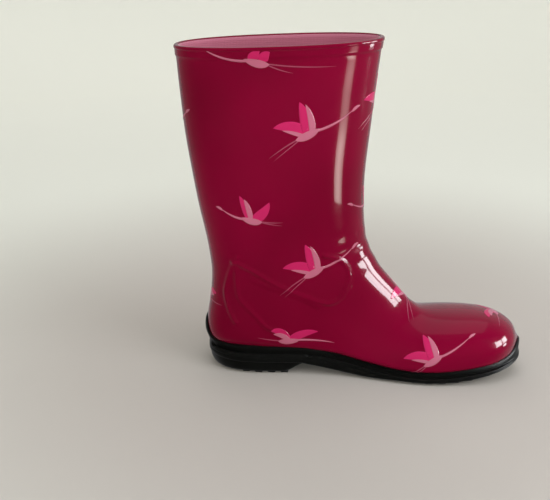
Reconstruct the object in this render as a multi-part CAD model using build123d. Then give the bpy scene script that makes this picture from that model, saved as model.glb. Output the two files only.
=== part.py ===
from build123d import *
from math import cos, hypot, pi, sin
import os

# A left rubber rain boot, women's size 39. Millimetres, +X to the toe, +Y to the outer side of
# the foot and +Z up. It is drawn with X from the rear of the heel and Y from the foot's middle
# line, and the finished pieces are moved together so that the origin is at the centre of the
# whole boot's footprint, on the ground.

# ---------------------------------------------------------------- driving dimensions
SHELL = 2.2              # rubber wall of the upper
LINING = 1.2             # knitted textile lining
REINFORCEMENT = 0.8      # rubberised canvas pieces bonded inside the wall
RAND = 2.6               # black strip round the foot of the upper
BAND_HEIGHT = 9.0        # raised band round the mouth
BAND_PROUD = 1.3         # how far the band stands out of the wall
BEAD_HEIGHT = 3.0        # rolled bead at the very top
BEAD_PROUD = 2.0
TREAD_DEPTH = 2.0
LUG_WIDTH = 7.0
LUG_PITCH = 11.0
LUG_POINT = 7.0          # how far a chevron lug runs forward at the middle line
TREAD_MARGIN = 4.0       # plain border round the tread
LASTING_MARGIN = 14.0    # how far the wall turns in under the lasting board
STITCH = 1.0             # seam that joins lining and board
SEAM_WIDTH = 5.0         # overlocked seam at the centre back of the lining
SEAM_THICK = 0.8
SHANK_WIDTH = 16.0
SHANK_ENDS = (62, 168)
FOOTBED_FOAM = 4.2
FOOTBED_COVER = 1.2
FOOTBED_GAP = 0.4        # between the loose footbed and the board
FOOTBED_INSET = 9.5      # from the sole's edge
FOOTBED_CLEAR = 6.0      # from the outer face of the upper
FILLER_SPLIT = 140       # where the forefoot filler meets the heel filler
TOE_PUFF_START = 238
PAD_TO_MIDDLE = 12       # from an ankle pad's ends to the foot's middle line
SHANK_COVER = 0.5        # filler above and below the shank
FORE_TREAD = (140, 252)  # where the forefoot lugs start and end
HEEL_TREAD = (20, 79)
HEEL_SETBACK = 0.8       # of the heel block from the sole's edge
HALF_WIDTH = 80          # half-width of the cutting solids
UNDER, OVER = -5, 60     # levels that clear the foot part of the boot, below and above
HALF_POINTS = 14         # steps round each half of a section
SHARES = [step / HALF_POINTS for step in range(HALF_POINTS + 1)]

# A station is one closed section of the upper's outer face. The stations lie level in the leg
# and turn about the bend of the instep until they stand upright at the toe. Each has its back
# point, which runs down the calf, round the heel and forward along the sole, its front point,
# which runs down the shin and along the top of the foot, its half-widths on the inner and outer
# side of the foot, the place of its greatest width from back (0) to front (1), and the fullness
# of its back and front halves, where 2 is an ellipse and more is squarer. The first station is
# the edge of the uncut rubber, above the mouth.
STATIONS = [
    # back x, z     front x, z    inner outer place back front
    ((-10.5, 289.0), (156.4, 296.4), 34.3, 34.3, 0.50, 2.25, 2.25),
    ((-9.7, 277.3), (154.9, 284.7), 34.5, 34.5, 0.50, 2.25, 2.25),   # just above the mouth
    ((-7.8, 248.0), (151.2, 252.0), 34.8, 34.8, 0.50, 2.2, 2.2),
    ((-4.6, 211.0), (147.6, 213.0), 34.8, 34.8, 0.50, 2.2, 2.2),     # calf
    ((0.5, 175.0), (144.2, 176.5), 33.8, 33.8, 0.49, 2.2, 2.2),
    ((6.4, 140.0), (143.6, 145.0), 32.5, 32.5, 0.48, 2.2, 2.2),
    ((12.2, 110.0), (146.6, 118.0), 31.0, 31.0, 0.46, 2.2, 2.15),    # ankle
    ((15.4, 84.0), (152.6, 102.0), 30.8, 30.8, 0.44, 2.2, 2.1),
    ((13.8, 60.0), (160.5, 88.5), 31.5, 31.5, 0.42, 2.3, 2.1),       # heel
    ((11.0, 38.0), (169.5, 77.5), 32.0, 32.0, 0.38, 2.4, 2.1),
    ((17.0, 22.0), (176.0, 70.0), 32.0, 32.0, 0.34, 2.6, 2.1),
    ((50.0, 19.5), (183.0, 62.0), 31.2, 31.6, 0.30, 3.0, 2.1),
    ((85.0, 19.5), (189.0, 56.6), 30.8, 32.6, 0.27, 3.2, 2.15),      # waist
    ((117.0, 17.5), (196.0, 52.4), 31.6, 35.5, 0.26, 3.4, 2.2),
    ((147.0, 11.5), (204.0, 50.9), 35.6, 40.5, 0.25, 3.6, 2.2),
    ((173.0, 7.5), (214.0, 50.8), 40.2, 45.0, 0.25, 3.8, 2.2),
    ((200.0, 6.0), (227.0, 51.0), 42.0, 46.0, 0.26, 4.0, 2.25),      # ball
    ((224.0, 7.8), (241.0, 51.0), 40.6, 41.6, 0.27, 4.0, 2.3),
    ((245.0, 10.5), (254.5, 49.4), 37.2, 36.0, 0.29, 3.6, 2.3),      # toe
    ((260.5, 13.3), (266.2, 45.6), 31.0, 27.0, 0.32, 3.2, 2.3),
    ((272.2, 17.6), (274.4, 39.6), 20.0, 16.0, 0.38, 2.8, 2.2),
    ((278.0, 23.2), (278.3, 31.5), 8.0, 7.5, 0.45, 2.2, 2.1),
]
MOUTH_BACK = (-9.6, 275.3)      # the mouth's plane slopes up to the front
MOUTH_FRONT = (154.6, 282.7)

# Outline of the sole from above, from the tip of the toe back along the outer side, round the
# heel and forward along the inner side.
SOLE_OUTLINE = [
    (281.6, -4), (277.5, 9.5), (266, 23.5), (249, 35.5), (227, 44.5), (205, 48.8), (186, 47.6), (159, 42.4),
    (132, 37.4), (104, 34.8), (77, 34.2), (50, 33.8), (30, 29), (16.5, 17.5), (11.8, 0),
    (16.5, -17.5), (30, -29), (50, -33.8), (77, -33), (104, -32.2), (132, -33.6), (159, -38.6), (186, -43.6),
    (205, -44.9), (227, -43.2), (249, -39), (266, -30.5), (277.5, -17.5),
]

# Lines seen from the side, each a list of (x, z) from the heel to the toe.
RAND_TOP = [
    (-20, 44), (4, 44), (10.5, 42.5), (12.6, 36), (16.2, 28.5), (24, 24.6), (50, 24.2), (92, 24.3), (109, 22.4),
    (127, 19), (144, 15), (161, 11.8), (183, 9.4), (201, 9.4), (215, 10.6), (240, 13.6), (257, 16), (266, 18.6),
    (272.5, 22), (277, 25.4), (282, 28.4), (300, 33),
]
OUTSOLE_TOP = [
    (-20, 17.5), (50, 17.5), (95, 17.4), (115, 15.8), (140, 11.2), (160, 7.8), (183, 5.8), (201, 5.6),
    (220, 6.9), (240, 9.6), (255, 12), (268, 14.6), (283, 18), (300, 22),
]
OUTSOLE_BOTTOM = [
    (-20, 11), (50, 11), (90, 11), (98, 10.3), (110, 8.2), (127, 5), (143, 2.7), (156, 2), (185, 2), (208, 2),
    (225, 3.2), (240, 5.4), (255, 8.2), (268, 10.6), (283, 13.4), (300, 16.5),
]
FLOOR = [
    (-20, 23.8), (50, 23.8), (85, 23.8), (100, 23.4), (117, 21.7), (132, 19.1), (147, 15.9), (160, 13.5),
    (173, 11.8), (186, 10.7), (200, 10.3), (212, 10.8), (224, 12), (245, 14.9), (260, 17.8), (272, 21.4), (300, 31),
]


# ---------------------------------------------------------------- the upper's faces
def flat(station):
    back, front, *rest = station
    return [*back, *front, *rest]


def with_midways(stations):
    """Adds a station midway between each two, on the smooth line through the four around it."""
    rows = [flat(station) for station in stations]
    before_first = [2 * a - b for a, b in zip(rows[0], rows[1])]
    after_last = [2 * a - b for a, b in zip(rows[-1], rows[-2])]
    rows = [before_first] + rows + [after_last]
    full = []
    for number in range(1, len(rows) - 2):
        four = zip(*rows[number - 1:number + 3])
        middle = [(9 * (b + c) - a - d) / 16 for a, b, c, d in four]
        full += [rows[number], middle]
    full.append(rows[-2])
    return [((row[0], row[1]), (row[2], row[3]), *row[4:]) for row in full]


FINE_STATIONS = with_midways(STATIONS)


def neighbours(index):
    """Numbers of the stations before and after this one, or of itself at an end."""
    return max(index - 1, 0), min(index + 1, len(FINE_STATIONS) - 1)


def moved_in(column, index, depth):
    """A station's back (0) or front (1) point, moved into the boot square to its line."""
    before, after = neighbours(index)
    run_x = FINE_STATIONS[after][column][0] - FINE_STATIONS[before][column][0]
    run_z = FINE_STATIONS[after][column][1] - FINE_STATIONS[before][column][1]
    side = 1 if column == 0 else -1
    length = hypot(run_x, run_z)
    x, z = FINE_STATIONS[index][column]
    return x - side * depth * run_z / length, z + side * depth * run_x / length


def width_share(index):
    """Share of a wall thickness that comes off the half-width, less where the boot tapers."""
    ends = []
    for number in neighbours(index):
        back, front, inner, outer = FINE_STATIONS[number][:4]
        ends.append(((back[0] + front[0]) / 2, (back[1] + front[1]) / 2, (inner + outer) / 2))
    run = hypot(ends[1][0] - ends[0][0], ends[1][1] - ends[0][1])
    return run / hypot(run, ends[1][2] - ends[0][2])


def section(index, depth):
    """Closed section of the face that lies this deep in the wall."""
    _, _, inner, outer, place, back_full, front_full = FINE_STATIONS[index]
    back = moved_in(0, index, depth)
    front = moved_in(1, index, depth)
    taken = depth * width_share(index)
    halves = []
    for side, half in ((1, outer - taken), (-1, inner - taken)):
        points = []
        for step in range(HALF_POINTS + 1):
            angle = pi * step / HALF_POINTS
            fullness = front_full if cos(angle) >= 0 else back_full
            reach = (abs(cos(angle)) ** fullness + sin(angle) ** fullness) ** (-1 / fullness)
            along = reach * cos(angle)
            share = place + (1 - place) * along if along >= 0 else place + place * along
            x = back[0] + (front[0] - back[0]) * share
            z = back[1] + (front[1] - back[1]) * share
            points.append((x, side * half * reach * sin(angle), z))
        speed = Vector(0, side * half * pi, 0)
        halves.append(Edge.make_spline(points, [speed, -speed], parameters=SHARES, scale=False))
    return Face(Wire(halves))


def foot_form(depth):
    """Solid bounded by the face this deep in the wall, up to the uncut edge."""
    return loft([section(index, depth) for index in range(len(FINE_STATIONS))])


# ---------------------------------------------------------------- cutting solids
def side_line(points, lift=0.0):
    return Spline([(x, 0, z + lift) for x, z in points])


def between(lower, upper, lower_lift=0.0, upper_lift=0.0):
    """Everything between two side lines, right across the boot."""
    bottom = side_line(lower, lower_lift)
    top = side_line(upper, upper_lift)
    ends = [Line(bottom @ 0, top @ 0), Line(bottom @ 1, top @ 1)]
    return extrude(Face(Wire([bottom, top] + ends)), amount=HALF_WIDTH, dir=(0, 1, 0), both=True)


def side_prism(points, near=-HALF_WIDTH, far=HALF_WIDTH):
    """Straight-sided block seen from the side as these corners, from y near to y far."""
    face = Face(Wire(Polyline([(x, near, z) for x, z in points], close=True)))
    return extrude(face, amount=far - near, dir=(0, 1, 0))


def side_patch(points, near, far):
    """Smooth closed patch seen from the side through these points, from y near to y far."""
    face = Face(Wire([Spline([(x, near, z) for x, z in points], periodic=True)]))
    return extrude(face, amount=far - near, dir=(0, 1, 0))


def mouth_plane_prism(top, bottom):
    """Block between two levels below the slanted plane of the mouth."""
    (back_x, back_z), (front_x, front_z) = MOUTH_BACK, MOUTH_FRONT
    slope = (front_z - back_z) / (front_x - back_x)
    x0, x1 = -60, 220
    z0 = back_z + (x0 - back_x) * slope
    z1 = back_z + (x1 - back_x) * slope
    return side_prism([(x0, z0 - bottom), (x1, z1 - bottom), (x1, z1 - top), (x0, z0 - top)])


def sole_outline(inset):
    """The sole's outline points, each drawn in by inset square to the line of its neighbours."""
    count = len(SOLE_OUTLINE)
    points = []
    for number, (x, y) in enumerate(SOLE_OUTLINE):
        before = SOLE_OUTLINE[number - 1]
        after = SOLE_OUTLINE[(number + 1) % count]
        run_x, run_y = after[0] - before[0], after[1] - before[1]
        length = hypot(run_x, run_y)
        points.append((x - inset * run_y / length, y + inset * run_x / length))
    return points


def sole_prism(inset):
    """Upright block on the sole's outline, drawn in by inset."""
    outline = Edge.make_spline([Vector(x, y, UNDER) for x, y in sole_outline(inset)], periodic=True)
    return extrude(Face(Wire(outline)), amount=OVER - UNDER, dir=(0, 0, 1))


def chevrons(first, count):
    """V-shaped bars across the sole, pointing to the toe."""
    bars = []
    for number in range(count):
        x = first + number * LUG_PITCH
        corners = [
            (x, -HALF_WIDTH), (x + LUG_WIDTH, -HALF_WIDTH), (x + LUG_WIDTH + LUG_POINT, -6),
            (x + LUG_WIDTH + LUG_POINT, 6), (x + LUG_WIDTH, HALF_WIDTH), (x, HALF_WIDTH),
            (x + LUG_POINT, 6), (x + LUG_POINT, -6),
        ]
        face = Face(Wire(Polyline([(cx, cy, -1) for cx, cy in corners], close=True)))
        bars.append(extrude(face, amount=30, dir=(0, 0, 1)))
    return bars


# ---------------------------------------------------------------- pieces
OUTER = foot_form(0)
WALL_INSIDE = foot_form(SHELL)
LINING_INSIDE = foot_form(SHELL + LINING)
PIECE_OUTSIDE = foot_form(SHELL - REINFORCEMENT)
ABOVE_FLOOR = between(FLOOR, [(-20, 320), (300, 320)])
BELOW_FLOOR = between([(-20, -10), (300, -10)], FLOOR)
REINFORCED = PIECE_OUTSIDE - WALL_INSIDE

HEEL_COUNTER_SHAPE = [(-20, 26), (64, 26), (60, 42), (46, 62), (30, 74), (-20, 80)]
ANKLE_PAD_SHAPE = [(44, 84), (60, 92), (92, 97), (124, 92), (138, 78), (134, 64), (116, 57), (92, 62), (62, 73)]


def reinforcements():
    toe = REINFORCED & side_prism([(TOE_PUFF_START, 0), (300, 0), (300, OVER), (TOE_PUFF_START + 12, OVER)])
    return {
        "toe_puff": toe & ABOVE_FLOOR,
        "heel_counter": REINFORCED & side_prism(HEEL_COUNTER_SHAPE),
        "ankle_pad_inner": REINFORCED & side_patch(ANKLE_PAD_SHAPE, -HALF_WIDTH, -PAD_TO_MIDDLE),
        "ankle_pad_outer": REINFORCED & side_patch(ANKLE_PAD_SHAPE, PAD_TO_MIDDLE, HALF_WIDTH),
    }


def upper_shell(inner_pieces):
    """The wall, open at the mouth and turned in under the board round an open middle."""
    wall = OUTER - WALL_INSIDE - mouth_plane_prism(-40, BEAD_HEIGHT)
    wall -= sole_prism(LASTING_MARGIN) & BELOW_FLOOR
    for piece in inner_pieces:
        wall -= piece
    return wall


def topline_band():
    """Raised band round the mouth, with a rolled bead that caps wall and lining."""
    band = (foot_form(-BAND_PROUD) - OUTER) & mouth_plane_prism(0, BAND_HEIGHT)
    bead = (foot_form(-BEAD_PROUD) - LINING_INSIDE) & mouth_plane_prism(0, BEAD_HEIGHT)
    bead = bead.solid()
    outline = bead.edges().filter_by(GeomType.BSPLINE).sort_by(SortBy.LENGTH)[-2:]
    bead = fillet(outline, BEAD_PROUD * 0.6)
    return band + bead


def linings():
    layer = (WALL_INSIDE - LINING_INSIDE) & ABOVE_FLOOR
    layer -= mouth_plane_prism(-40, BEAD_HEIGHT)
    leg = side_prism([(-60, 88), (220, 122), (220, 330), (-60, 330)])
    return {"leg_lining": layer & leg, "foot_lining": layer - leg}


def lining_back_seam():
    seam = LINING_INSIDE - foot_form(SHELL + LINING + SEAM_THICK)
    seam -= mouth_plane_prism(-40, BEAD_HEIGHT)
    half = SEAM_WIDTH / 2
    return seam & side_prism([(-40, 60), (60, 60), (60, 300), (-40, 300)], -half, half)


def board_pieces():
    """Lasting board, the seam round it, and the two fillers and the shank below it."""
    board = WALL_INSIDE & BELOW_FLOOR
    depth = SHELL + LINING
    ring = LINING_INSIDE - foot_form(depth + STITCH)
    stitching = ring & between(FLOOR, FLOOR, 0, STITCH)
    middle = (OUTER - WALL_INSIDE) & sole_prism(LASTING_MARGIN) & BELOW_FLOOR
    start, end = SHANK_ENDS
    strip = foot_form(SHANK_COVER) - foot_form(SHELL - SHANK_COVER)
    corners = [(start, UNDER), (end, UNDER), (end, 26), (start, 26)]
    strip &= side_prism(corners, -SHANK_WIDTH / 2, SHANK_WIDTH / 2)
    strip &= BELOW_FLOOR
    middle -= strip
    rear = side_prism([(-20, UNDER), (FILLER_SPLIT, UNDER), (FILLER_SPLIT, OVER), (-20, OVER)])
    return {
        "lasting_board": board,
        "board_stitching": stitching,
        "forefoot_filler": middle - rear,
        "heel_filler": middle & rear,
        "shank": strip,
    }


def rand():
    """Black strip over the joint of upper and sole, high at the toe and in a tab at the heel."""
    return (foot_form(-RAND) - OUTER) & between(OUTSOLE_TOP, RAND_TOP)


def outsole():
    plate = sole_prism(0) & between(OUTSOLE_BOTTOM, OUTSOLE_TOP)
    plate -= OUTER
    start, end = FORE_TREAD
    lugs = sole_prism(TREAD_MARGIN) & side_prism([(start, 0), (end, 0), (end, 12), (start, 12)])
    lugs &= between(OUTSOLE_BOTTOM, OUTSOLE_BOTTOM, -TREAD_DEPTH - 0.2, 0.6)
    lugs &= Compound(chevrons(start + 1, 9))
    return (plate + (lugs - OUTER)).solid()


def heel_block():
    """Heel under the rear of the sole, with a slanted breast and its own lugs."""
    side = [(14, 11), (14.5, 5), (18, TREAD_DEPTH), (80, TREAD_DEPTH), (88, 5), (97, 11)]
    block = sole_prism(HEEL_SETBACK) & side_prism(side) & between([(-20, -9), (300, -9)], OUTSOLE_BOTTOM)
    start, end = HEEL_TREAD
    lugs = sole_prism(TREAD_MARGIN) & side_prism([(start, 0), (end, 0), (end, 3), (start, 3)])
    lugs &= Compound(chevrons(start - 10, 6))
    return (block + lugs).solid()


def footbed():
    """Loose insole: foam with a knitted top face, clear of the lining all round."""
    room = foot_form(FOOTBED_CLEAR) & sole_prism(FOOTBED_INSET)
    joint = FOOTBED_GAP + FOOTBED_FOAM
    return {
        "footbed_foam": room & between(FLOOR, FLOOR, FOOTBED_GAP, joint),
        "footbed_cover": room & between(FLOOR, FLOOR, joint, joint + FOOTBED_COVER),
    }


def boot():
    inner_pieces = reinforcements()
    nodes = {"upper_shell": upper_shell(inner_pieces.values()), "topline_band": topline_band()}
    nodes.update(linings())
    nodes["lining_back_seam"] = lining_back_seam()
    nodes.update(inner_pieces)
    nodes.update(board_pieces())
    nodes["rand"] = rand()
    nodes["outsole"] = outsole()
    nodes["heel_block"] = heel_block()
    nodes.update(footbed())
    return nodes


nodes = boot()
box = Compound(children=[Compound(list(shape.solids())) for shape in nodes.values()]).bounding_box()
to_origin = Location((-box.center().X, -box.center().Y, -box.min.Z))

os.makedirs("parts", exist_ok=True)
for name, shape in nodes.items():
    export_step(Compound(list(shape.solids())).moved(to_origin), f"parts/{name}.step")
print("moved by", to_origin.position)
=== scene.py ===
import math
import bmesh
import bpy
import numpy as np
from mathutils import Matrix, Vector
from mathutils.bvhtree import BVHTree


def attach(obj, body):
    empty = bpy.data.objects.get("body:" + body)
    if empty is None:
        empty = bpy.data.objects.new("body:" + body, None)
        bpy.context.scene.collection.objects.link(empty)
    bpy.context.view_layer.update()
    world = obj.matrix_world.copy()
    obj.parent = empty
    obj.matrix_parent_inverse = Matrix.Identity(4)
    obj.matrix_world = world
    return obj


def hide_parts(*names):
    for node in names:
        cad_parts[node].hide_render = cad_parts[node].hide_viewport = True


# A left rubber rain boot. Shapes are drawn in millimetres, with X from the rear of the heel, Y
# from the foot's middle line and Z up from the ground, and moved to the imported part's frame.

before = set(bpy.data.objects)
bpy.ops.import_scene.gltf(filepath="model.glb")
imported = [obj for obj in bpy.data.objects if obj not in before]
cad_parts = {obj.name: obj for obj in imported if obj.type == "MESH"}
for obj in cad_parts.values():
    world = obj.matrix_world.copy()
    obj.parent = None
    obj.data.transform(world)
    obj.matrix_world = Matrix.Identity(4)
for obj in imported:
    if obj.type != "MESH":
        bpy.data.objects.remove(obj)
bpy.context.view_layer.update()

HOME = np.array([-135.067, -1.99532, 0.0])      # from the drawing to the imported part
MM = 0.001
SHELL, LINING, RAND = 2.2, 1.2, 2.6             # thickness of the wall, the lining and the black strip
BAND_HEIGHT, BAND_PROUD = 9.0, 0.85             # raised band below the mouth
FOOTBED_INSET = 9.6                             # from the sole's outline in to the insole's
HEEL_FRONT = 99.0                               # x of the heel block's front edge
TREAD_PITCH, TREAD_WIDTH = 11.0, 7.0            # spacing and width of the tread's bars
INK, INK_LAYER, INK_ROOT = 0.16, 0.05, 0.12     # print: height on the rubber, step per layer, depth in it
AROUND = 288                                    # points round a section of the wall and the bead

# One row for each section of the upper's outer face, from the mouth round the instep to the toe:
# back x and z, front x and z, half-widths on the inner and outer side, place of the greatest
# width from back to front, and fullness of the back and front halves.
STATIONS = [
    (-9.6, 275.3, 154.6, 282.7, 34.5, 34.5, 0.50, 2.25, 2.25),
    (-7.8, 248.0, 151.2, 252.0, 34.8, 34.8, 0.50, 2.2, 2.2),
    (-4.6, 211.0, 147.6, 213.0, 34.8, 34.8, 0.50, 2.2, 2.2),
    (0.5, 175.0, 144.2, 176.5, 33.8, 33.8, 0.49, 2.2, 2.2),
    (6.4, 140.0, 143.6, 145.0, 32.5, 32.5, 0.48, 2.2, 2.2),
    (12.2, 110.0, 146.6, 118.0, 31.0, 31.0, 0.46, 2.2, 2.15),
    (15.4, 84.0, 152.6, 102.0, 30.8, 30.8, 0.44, 2.2, 2.1),
    (13.8, 60.0, 160.5, 88.5, 31.5, 31.5, 0.42, 2.3, 2.1),
    (11.0, 38.0, 169.5, 77.5, 32.0, 32.0, 0.38, 2.4, 2.1),
    (17.0, 22.0, 176.0, 70.0, 32.0, 32.0, 0.34, 2.6, 2.1),
    (50.0, 19.5, 183.0, 62.0, 31.2, 31.6, 0.30, 3.0, 2.1),
    (85.0, 19.5, 189.0, 56.6, 30.8, 32.6, 0.27, 3.2, 2.15),
    (117.0, 17.5, 196.0, 52.4, 31.6, 35.5, 0.26, 3.4, 2.2),
    (147.0, 11.5, 204.0, 50.9, 35.6, 40.5, 0.25, 3.6, 2.2),
    (173.0, 7.5, 214.0, 50.8, 40.2, 45.0, 0.25, 3.8, 2.2),
    (200.0, 6.0, 227.0, 51.0, 42.0, 46.0, 0.26, 4.0, 2.25),
    (224.0, 7.8, 241.0, 51.0, 40.6, 41.6, 0.27, 4.0, 2.3),
    (245.0, 10.5, 254.5, 49.4, 37.2, 36.0, 0.29, 3.6, 2.3),
    (260.5, 13.3, 266.2, 45.6, 31.0, 27.0, 0.32, 3.2, 2.3),
    (272.2, 17.6, 274.4, 39.6, 20.0, 16.0, 0.38, 2.8, 2.2),
    (278.0, 23.2, 278.3, 31.5, 8.0, 7.5, 0.45, 2.2, 2.1),
]

# Sole outline from above, from the toe back along the outer side, round the heel and forward.
SOLE_OUTLINE = [
    (281.6, -4), (277.5, 9.5), (266, 23.5), (249, 35.5), (227, 44.5), (205, 48.8), (186, 47.6),
    (159, 42.4), (132, 37.4), (104, 34.8), (77, 34.2), (50, 33.8), (30, 29), (16.5, 17.5), (11.8, 0),
    (16.5, -17.5), (30, -29), (50, -33.8), (77, -33), (104, -32.2), (132, -33.6), (159, -38.6),
    (186, -43.6), (205, -44.9), (227, -43.2), (249, -39), (266, -30.5), (277.5, -17.5),
]

# Lines seen from the side, as (x, z) from the heel to the toe.
RAND_TOP = [
    (4, 43.6), (10.5, 42.5), (12.6, 36), (16.2, 28.5), (24, 24.6), (50, 24.2), (92, 24.3), (109, 22.4),
    (127, 19), (144, 15), (161, 11.8), (183, 9.4), (201, 9.4), (215, 10.6), (240, 13.6), (257, 16),
    (266, 18.8), (272.5, 22.4), (277, 25.8), (282, 28.6), (290, 31),
]
OUTSOLE_TOP = [
    (0, 17.5), (50, 17.5), (95, 17.4), (115, 15.8), (140, 11.2), (160, 7.8), (183, 5.8), (201, 5.6),
    (220, 6.9), (240, 9.6), (255, 12), (268, 14.6), (283, 18), (300, 22),
]
OUTSOLE_BOTTOM = [
    (0, 11), (50, 11), (90, 11), (98, 10.3), (110, 8.2), (127, 5), (143, 2.7), (156, 2), (185, 2),
    (208, 2), (225, 3.2), (240, 5.4), (255, 8.2), (268, 10.6), (283, 13.4), (300, 16.5),
]
FLOOR = [
    (0, 23.8), (50, 23.8), (85, 23.8), (100, 23.4), (117, 21.7), (132, 19.1), (147, 15.9), (160, 13.5),
    (173, 11.8), (186, 10.7), (200, 10.3), (212, 10.8), (224, 12), (245, 14.9), (260, 17.8), (272, 21.4),
]


# ---------------- curves
def unit(vectors):
    """The same directions with length one."""
    return vectors / np.maximum(np.linalg.norm(vectors, axis=-1, keepdims=True), 1e-9)


def cubic_moments(values):
    """Second derivatives of the natural cubic spline through equally spaced rows."""
    count = len(values)
    system = np.zeros((count, count))
    right = np.zeros_like(values)
    system[0, 0] = system[-1, -1] = 1
    for row in range(1, count - 1):
        system[row, row - 1:row + 2] = 1, 4, 1
        right[row] = 6 * (values[row - 1] - 2 * values[row] + values[row + 1])
    return np.linalg.solve(system, right)


def cubic_at(values, moments, where):
    """The spline's rows at these places, counted in rows."""
    low = np.clip(where.astype(int), 0, len(values) - 2)
    t = (where - low)[..., None]
    a = 1 - t
    return (a * values[low] + t * values[low + 1]
            + ((a ** 3 - a) * moments[low] + (t ** 3 - t) * moments[low + 1]) / 6)


def with_midways(rows):
    """Adds a row midway between each two, on the smooth line through the four around it."""
    padded = np.vstack([2 * rows[0] - rows[1], rows, 2 * rows[-1] - rows[-2]])
    middles = (9 * (padded[1:-2] + padded[2:-1]) - padded[:-3] - padded[3:]) / 16
    full = np.empty((2 * len(rows) - 1, rows.shape[1]))
    full[0::2] = rows
    full[1::2] = middles
    return full


def smooth_line(points, count, closed=False):
    """Points evenly spaced along the smooth line through these."""
    points = np.array(points, float)
    overlap = 4
    if closed:
        points = np.vstack([points[-overlap:], points, points[:overlap]])
    fine_count = 60 * len(points)
    fine = cubic_at(points, cubic_moments(points), np.linspace(0, len(points) - 1, fine_count))
    if closed:
        per_point = (fine_count - 1) / (len(points) - 1)
        first, last = int(overlap * per_point), int((len(points) - overlap) * per_point)
        fine = fine[first:last + 1]
    run = np.concatenate([[0], np.cumsum(np.linalg.norm(np.diff(fine, axis=0), axis=1))])
    wanted = np.linspace(0, run[-1], count + 1)[:-1] if closed else np.linspace(0, run[-1], count)
    return np.stack([np.interp(wanted, run, fine[:, column]) for column in range(fine.shape[1])], 1)


def height_line(points):
    """A smooth height over x, as a function."""
    fine = smooth_line(points, 900)
    return lambda x: np.interp(x, fine[:, 0], fine[:, 1])


def smoothstep(low, high, value):
    """0 below low and 1 above high, smooth between."""
    t = np.clip((value - low) / (high - low), 0, 1)
    return t * t * (3 - 2 * t)


def distance_to_line(points, line):
    """Shortest distance from each point to a line of straight runs."""
    starts, runs = line[:-1], np.diff(line, axis=0)
    lengths = np.maximum((runs ** 2).sum(1), 1e-9)
    best = np.full(len(points), 1e9)
    for start, run, length in zip(starts, runs, lengths):
        rel = points - start
        t = np.clip((rel @ run) / length, 0, 1)
        best = np.minimum(best, np.linalg.norm(rel - t[:, None] * run, axis=1))
    return best


# ---------------- the upper's outer face
ROWS = with_midways(np.array(STATIONS))
MOMENTS = cubic_moments(ROWS)
LAST = len(ROWS) - 1


def base_point(u, theta):
    """Point on the plain outer face: u runs from the mouth to the toe, theta round the section."""
    row = cubic_at(ROWS, MOMENTS, u)
    theta = (theta + math.pi) % (2 * math.pi) - math.pi
    back, front = row[..., 0:2], row[..., 2:4]
    half = np.where(theta >= 0, row[..., 5], row[..., 4])
    place, back_full, front_full = row[..., 6], row[..., 7], row[..., 8]
    c, s = np.cos(theta), np.abs(np.sin(theta))
    fullness = back_full + (front_full - back_full) * smoothstep(-0.45, 0.45, c)
    reach = (np.abs(c) ** fullness + s ** fullness) ** (-1 / fullness)
    along = reach * c
    share = np.where(along >= 0, place + (1 - place) * along, place + place * along)
    xz = back + (front - back) * share[..., None]
    y = np.sign(theta) * half * reach * s
    return np.stack([xz[..., 0], y, xz[..., 1]], -1)


def base_normal(u, theta):
    """Outward direction of the plain outer face."""
    step = 0.02
    low, high = np.clip(u - step, 0, LAST), np.clip(u + step, 0, LAST)
    along = base_point(high, theta) - base_point(low, theta)
    around = base_point(u, theta + step) - base_point(u, theta - step)
    return unit(np.cross(along, around))


def angles_round(count, nudge=1e-4):
    """Angles round a section, from its back, nudged off the line where the angle wraps."""
    return np.linspace(-math.pi, math.pi, count, endpoint=False) + nudge


def even_rows(first, last, count):
    """Places from mouth to toe, evenly spaced by the length of side, top and underside together."""
    u = np.linspace(first, last, 600)
    side, top, under = (base_point(u, np.full(600, angle)) for angle in (-math.pi / 2, 0.0, math.pi))
    run = sum(np.linalg.norm(np.diff(line, axis=0), axis=1) for line in (side, 0.7 * top, 0.7 * under))
    run = np.concatenate([[0], np.cumsum(run)])
    return np.interp(np.linspace(0, run[-1], count), run, u)


# Raised lines moulded on both sides of the ankle: path seen from the side, height and half-width.
MOULDED_LINES = [
    # The heel counter's rear and front lines.
    (smooth_line([(40, 104), (34.5, 93), (30.6, 79), (29.6, 69), (33.6, 54.8), (38.6, 46)], 60), 1.3, 1.7),
    (smooth_line([(38.5, 95), (39.5, 79), (42.5, 67), (53.4, 55.8), (62.7, 45.8), (70, 41)], 60), 1.1, 1.7),
    # The ankle pad's rim and the fold across it.
    (smooth_line([(36, 100), (53, 93.5), (73, 82.5), (94.5, 73.4), (111, 66.9), (121, 66.6),
                  (129, 74), (133, 88), (127.6, 102), (112, 108)], 110), 1.3, 1.7),
    (smooth_line([(52, 86), (76, 77.5), (96, 70), (108, 63.5)], 50), 0.7, 2.2),
]


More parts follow.
